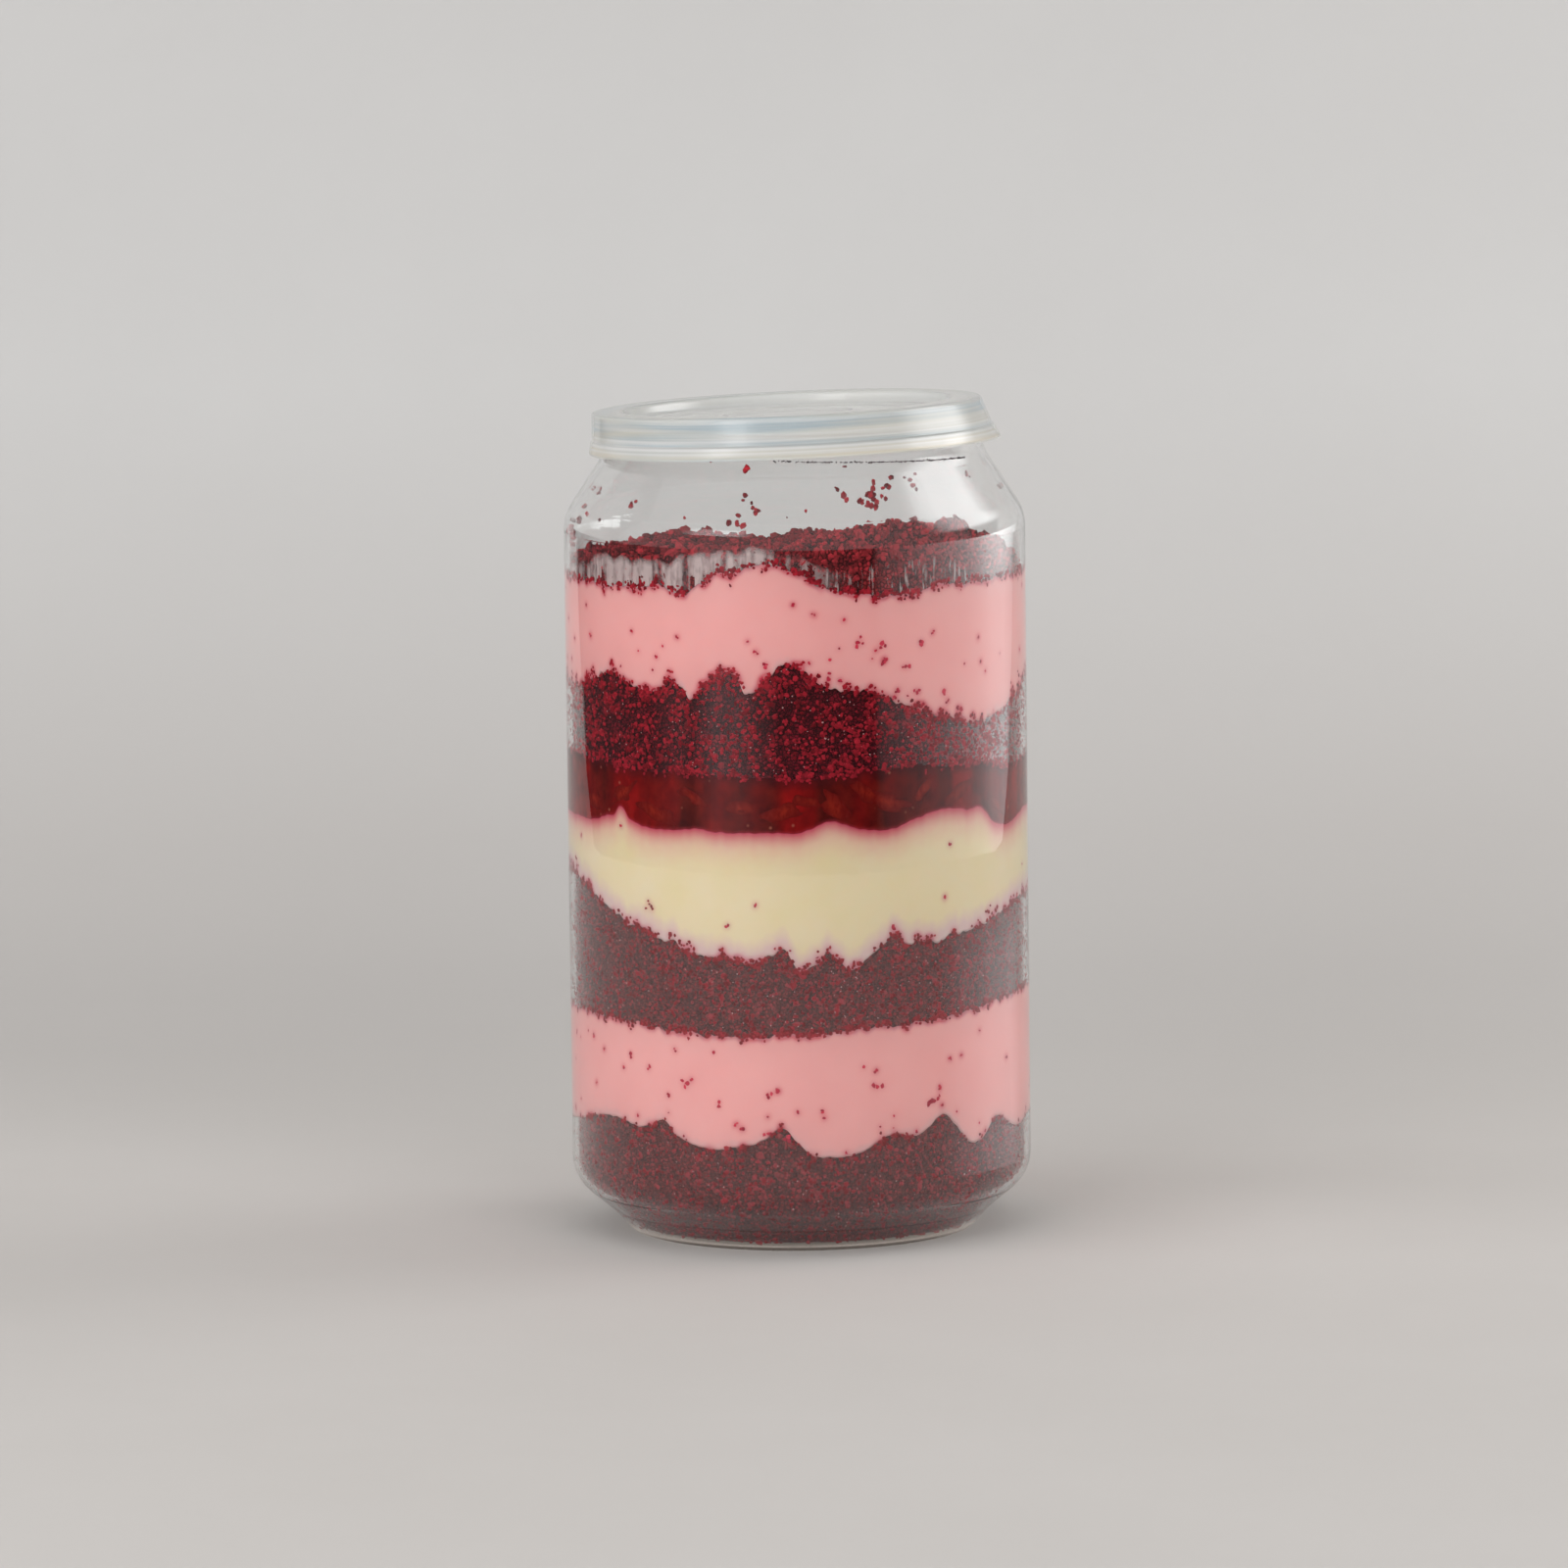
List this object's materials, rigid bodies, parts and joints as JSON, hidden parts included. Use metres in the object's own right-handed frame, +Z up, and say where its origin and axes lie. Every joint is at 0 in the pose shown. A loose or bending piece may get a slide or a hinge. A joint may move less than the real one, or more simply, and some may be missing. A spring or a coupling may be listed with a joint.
{
  "type": "layered cake dessert in a clear can with a push-on lid",
  "caption": "Clear drink-can-shaped plastic jar filled with layers of red cake crumb, pink cream, pale custard and red fruit jam, closed by a milky push-on lid that sits askew.",
  "frame": {"origin": "on the table plane, at the centre of the foot ring", "axes": "+Z up along the can's axis, -Y is the front, +X is to the right seen from the front"},
  "size_m": [0.0661, 0.066, 0.1197],
  "materials": {
    "clear_plastic": "clear, glossy",
    "milky_plastic": "milky, satin",
    "red_crumb": "loose crumb, matte",
    "pink_cream": "smooth, soft sheen",
    "yellow_cream": "smooth, soft sheen",
    "fruit_jam": "wet, glossy"
  },
  "bodies": {
    "root": {"can": "clear_plastic", "lid": "milky_plastic", "crumb_bottom": "red_crumb", "crumb_middle": "red_crumb", "crumb_upper": "red_crumb", "crumb_top": "red_crumb", "cream_pink_lower": "pink_cream", "cream_pink_upper": "pink_cream", "custard": "yellow_cream", "jam": "fruit_jam"}
  },
  "joints": []
}
